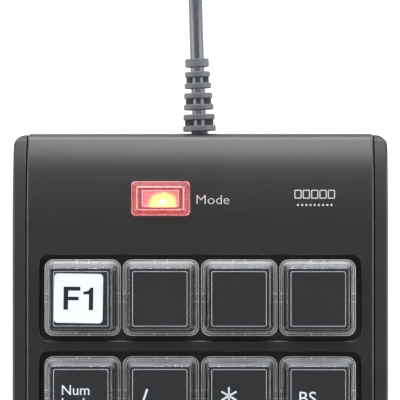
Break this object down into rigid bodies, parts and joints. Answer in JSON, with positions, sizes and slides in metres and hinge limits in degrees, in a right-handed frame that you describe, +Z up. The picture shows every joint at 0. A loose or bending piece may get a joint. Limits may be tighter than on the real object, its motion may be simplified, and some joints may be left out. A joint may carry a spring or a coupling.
{
  "type": "numeric keypad",
  "caption": "USB numeric keypad with relegendable keys under clear covers, a lit mode button, folding tilt feet and a captive lead that ends in its plug.",
  "frame": {"origin": "centre of the keypad's own footprint, on the surface that the rubber feet stand on; the lead, its coil, plug and strain relief are left out of that centre", "axes": "+X to the user's right, +Y to the rear edge where the lead leaves, +Z up out of the keys"},
  "size_m": [0.0912, 0.2748, 0.0278],
  "materials": {
    "case_plastic": "fine matte texture, near black",
    "panel_plastic": "fine spark-eroded matte, near black",
    "clear_cover": "clear polished plastic",
    "key_plastic": "satin, near black",
    "mode_lens": "clear polished plastic, lit red from below",
    "led_lens": "clear moulded epoxy",
    "dome_rubber": "translucent silicone rubber",
    "board": "green solder mask",
    "switch_plastic": "moulded nylon",
    "screw_steel": "zinc-plated steel",
    "foot_rubber": "matte rubber",
    "tilt_plastic": "fine matte texture",
    "relief_rubber": "soft grey vinyl, fine grain",
    "cord_jacket": "smooth blue-grey vinyl",
    "plug_grip": "soft grey vinyl, fine grain",
    "plug_steel": "nickel-plated pressed steel"
  },
  "bodies": {
    "case": {"bottom_case": "case_plastic", "top_cover": "panel_plastic", "rubber_dome_sheet": "dome_rubber", "circuit_board": "board", "mode_switch": "switch_plastic", "mode_led": "led_lens", "case_screws": "screw_steel", "rubber_feet": "foot_rubber", "strain_relief": "relief_rubber", "cord": "cord_jacket", "cord_coil": "cord_jacket", "usb_plug_grip": "plug_grip", "usb_plug_shell": "plug_steel"},
    "key_f1": {"key_f1_cover": "clear_cover", "key_f1_base": "key_plastic"},
    "key_blank_1": {"key_blank_1_cover": "clear_cover", "key_blank_1_base": "key_plastic"},
    "key_blank_2": {"key_blank_2_cover": "clear_cover", "key_blank_2_base": "key_plastic"},
    "key_blank_3": {"key_blank_3_cover": "clear_cover", "key_blank_3_base": "key_plastic"},
    "key_num_lock": {"key_num_lock_cover": "clear_cover", "key_num_lock_base": "key_plastic"},
    "key_slash": {"key_slash_cover": "clear_cover", "key_slash_base": "key_plastic"},
    "key_asterisk": {"key_asterisk_cover": "clear_cover", "key_asterisk_base": "key_plastic"},
    "key_backspace": {"key_backspace_cover": "clear_cover", "key_backspace_base": "key_plastic"},
    "key_7": {"key_7_cover": "clear_cover", "key_7_base": "key_plastic"},
    "key_8": {"key_8_cover": "clear_cover", "key_8_base": "key_plastic"},
    "key_9": {"key_9_cover": "clear_cover", "key_9_base": "key_plastic"},
    "key_minus": {"key_minus_cover": "clear_cover", "key_minus_base": "key_plastic"},
    "key_4": {"key_4_cover": "clear_cover", "key_4_base": "key_plastic"},
    "key_5": {"key_5_cover": "clear_cover", "key_5_base": "key_plastic"},
    "key_6": {"key_6_cover": "clear_cover", "key_6_base": "key_plastic"},
    "key_plus": {"key_plus_cover": "clear_cover", "key_plus_base": "key_plastic"},
    "key_1": {"key_1_cover": "clear_cover", "key_1_base": "key_plastic"},
    "key_2": {"key_2_cover": "clear_cover", "key_2_base": "key_plastic"},
    "key_3": {"key_3_cover": "clear_cover", "key_3_base": "key_plastic"},
    "key_0": {"key_0_cover": "clear_cover", "key_0_base": "key_plastic"},
    "key_decimal": {"key_decimal_cover": "clear_cover", "key_decimal_base": "key_plastic"},
    "key_enter": {"key_enter_cover": "clear_cover", "key_enter_base": "key_plastic"},
    "mode_button": {"mode_button": "mode_lens"},
    "left_tilt_foot": {"left_tilt_foot": "tilt_plastic"},
    "right_tilt_foot": {"right_tilt_foot": "tilt_plastic"}
  },
  "joints": [
    {"name": "key_f1_press", "type": "slide", "parent": "case", "child": "key_f1", "axis": [0, 0, -1], "range_m": [0, 0.0035], "stiffness_N_per_m": 150, "springref_m": -0.001, "deforming": ["rubber_dome_sheet"]},
    {"name": "key_blank_1_press", "type": "slide", "parent": "case", "child": "key_blank_1", "axis": [0, 0, -1], "range_m": [0, 0.0035], "stiffness_N_per_m": 150, "springref_m": -0.001, "deforming": ["rubber_dome_sheet"]},
    {"name": "key_blank_2_press", "type": "slide", "parent": "case", "child": "key_blank_2", "axis": [0, 0, -1], "range_m": [0, 0.0035], "stiffness_N_per_m": 150, "springref_m": -0.001, "deforming": ["rubber_dome_sheet"]},
    {"name": "key_blank_3_press", "type": "slide", "parent": "case", "child": "key_blank_3", "axis": [0, 0, -1], "range_m": [0, 0.0035], "stiffness_N_per_m": 150, "springref_m": -0.001, "deforming": ["rubber_dome_sheet"]},
    {"name": "key_num_lock_press", "type": "slide", "parent": "case", "child": "key_num_lock", "axis": [0, 0, -1], "range_m": [0, 0.0035], "stiffness_N_per_m": 150, "springref_m": -0.001, "deforming": ["rubber_dome_sheet"]},
    {"name": "key_slash_press", "type": "slide", "parent": "case", "child": "key_slash", "axis": [0, 0, -1], "range_m": [0, 0.0035], "stiffness_N_per_m": 150, "springref_m": -0.001, "deforming": ["rubber_dome_sheet"]},
    {"name": "key_asterisk_press", "type": "slide", "parent": "case", "child": "key_asterisk", "axis": [0, 0, -1], "range_m": [0, 0.0035], "stiffness_N_per_m": 150, "springref_m": -0.001, "deforming": ["rubber_dome_sheet"]},
    {"name": "key_backspace_press", "type": "slide", "parent": "case", "child": "key_backspace", "axis": [0, 0, -1], "range_m": [0, 0.0035], "stiffness_N_per_m": 150, "springref_m": -0.001, "deforming": ["rubber_dome_sheet"]},
    {"name": "key_7_press", "type": "slide", "parent": "case", "child": "key_7", "axis": [0, 0, -1], "range_m": [0, 0.0035], "stiffness_N_per_m": 150, "springref_m": -0.001, "deforming": ["rubber_dome_sheet"]},
    {"name": "key_8_press", "type": "slide", "parent": "case", "child": "key_8", "axis": [0, 0, -1], "range_m": [0, 0.0035], "stiffness_N_per_m": 150, "springref_m": -0.001, "deforming": ["rubber_dome_sheet"]},
    {"name": "key_9_press", "type": "slide", "parent": "case", "child": "key_9", "axis": [0, 0, -1], "range_m": [0, 0.0035], "stiffness_N_per_m": 150, "springref_m": -0.001, "deforming": ["rubber_dome_sheet"]},
    {"name": "key_minus_press", "type": "slide", "parent": "case", "child": "key_minus", "axis": [0, 0, -1], "range_m": [0, 0.0035], "stiffness_N_per_m": 150, "springref_m": -0.001, "deforming": ["rubber_dome_sheet"]},
    {"name": "key_4_press", "type": "slide", "parent": "case", "child": "key_4", "axis": [0, 0, -1], "range_m": [0, 0.0035], "stiffness_N_per_m": 150, "springref_m": -0.001, "deforming": ["rubber_dome_sheet"]},
    {"name": "key_5_press", "type": "slide", "parent": "case", "child": "key_5", "axis": [0, 0, -1], "range_m": [0, 0.0035], "stiffness_N_per_m": 150, "springref_m": -0.001, "deforming": ["rubber_dome_sheet"]},
    {"name": "key_6_press", "type": "slide", "parent": "case", "child": "key_6", "axis": [0, 0, -1], "range_m": [0, 0.0035], "stiffness_N_per_m": 150, "springref_m": -0.001, "deforming": ["rubber_dome_sheet"]},
    {"name": "key_plus_press", "type": "slide", "parent": "case", "child": "key_plus", "axis": [0, 0, -1], "range_m": [0, 0.0035], "stiffness_N_per_m": 150, "springref_m": -0.001, "deforming": ["rubber_dome_sheet"]},
    {"name": "key_1_press", "type": "slide", "parent": "case", "child": "key_1", "axis": [0, 0, -1], "range_m": [0, 0.0035], "stiffness_N_per_m": 150, "springref_m": -0.001, "deforming": ["rubber_dome_sheet"]},
    {"name": "key_2_press", "type": "slide", "parent": "case", "child": "key_2", "axis": [0, 0, -1], "range_m": [0, 0.0035], "stiffness_N_per_m": 150, "springref_m": -0.001, "deforming": ["rubber_dome_sheet"]},
    {"name": "key_3_press", "type": "slide", "parent": "case", "child": "key_3", "axis": [0, 0, -1], "range_m": [0, 0.0035], "stiffness_N_per_m": 150, "springref_m": -0.001, "deforming": ["rubber_dome_sheet"]},
    {"name": "key_0_press", "type": "slide", "parent": "case", "child": "key_0", "axis": [0, 0, -1], "range_m": [0, 0.0035], "stiffness_N_per_m": 190, "springref_m": -0.001, "deforming": ["rubber_dome_sheet"]},
    {"name": "key_decimal_press", "type": "slide", "parent": "case", "child": "key_decimal", "axis": [0, 0, -1], "range_m": [0, 0.0035], "stiffness_N_per_m": 150, "springref_m": -0.001, "deforming": ["rubber_dome_sheet"]},
    {"name": "key_enter_press", "type": "slide", "parent": "case", "child": "key_enter", "axis": [0, 0, -1], "range_m": [0, 0.0035], "stiffness_N_per_m": 190, "springref_m": -0.001, "deforming": ["rubber_dome_sheet"]},
    {"name": "mode_button_press", "type": "slide", "parent": "case", "child": "mode_button", "axis": [0, 0, -1], "range_m": [0, 0.0008], "stiffness_N_per_m": 400, "springref_m": -0.0005},
    {"name": "left_tilt_foot_fold", "type": "hinge", "parent": "case", "child": "left_tilt_foot", "pos_m": [-0.031, 0.0695, 0.0027], "axis": [1, 0, 0], "range_deg": [0, 90]},
    {"name": "right_tilt_foot_fold", "type": "hinge", "parent": "case", "child": "right_tilt_foot", "pos_m": [0.031, 0.0695, 0.0027], "axis": [1, 0, 0], "range_deg": [0, 90]}
  ]
}
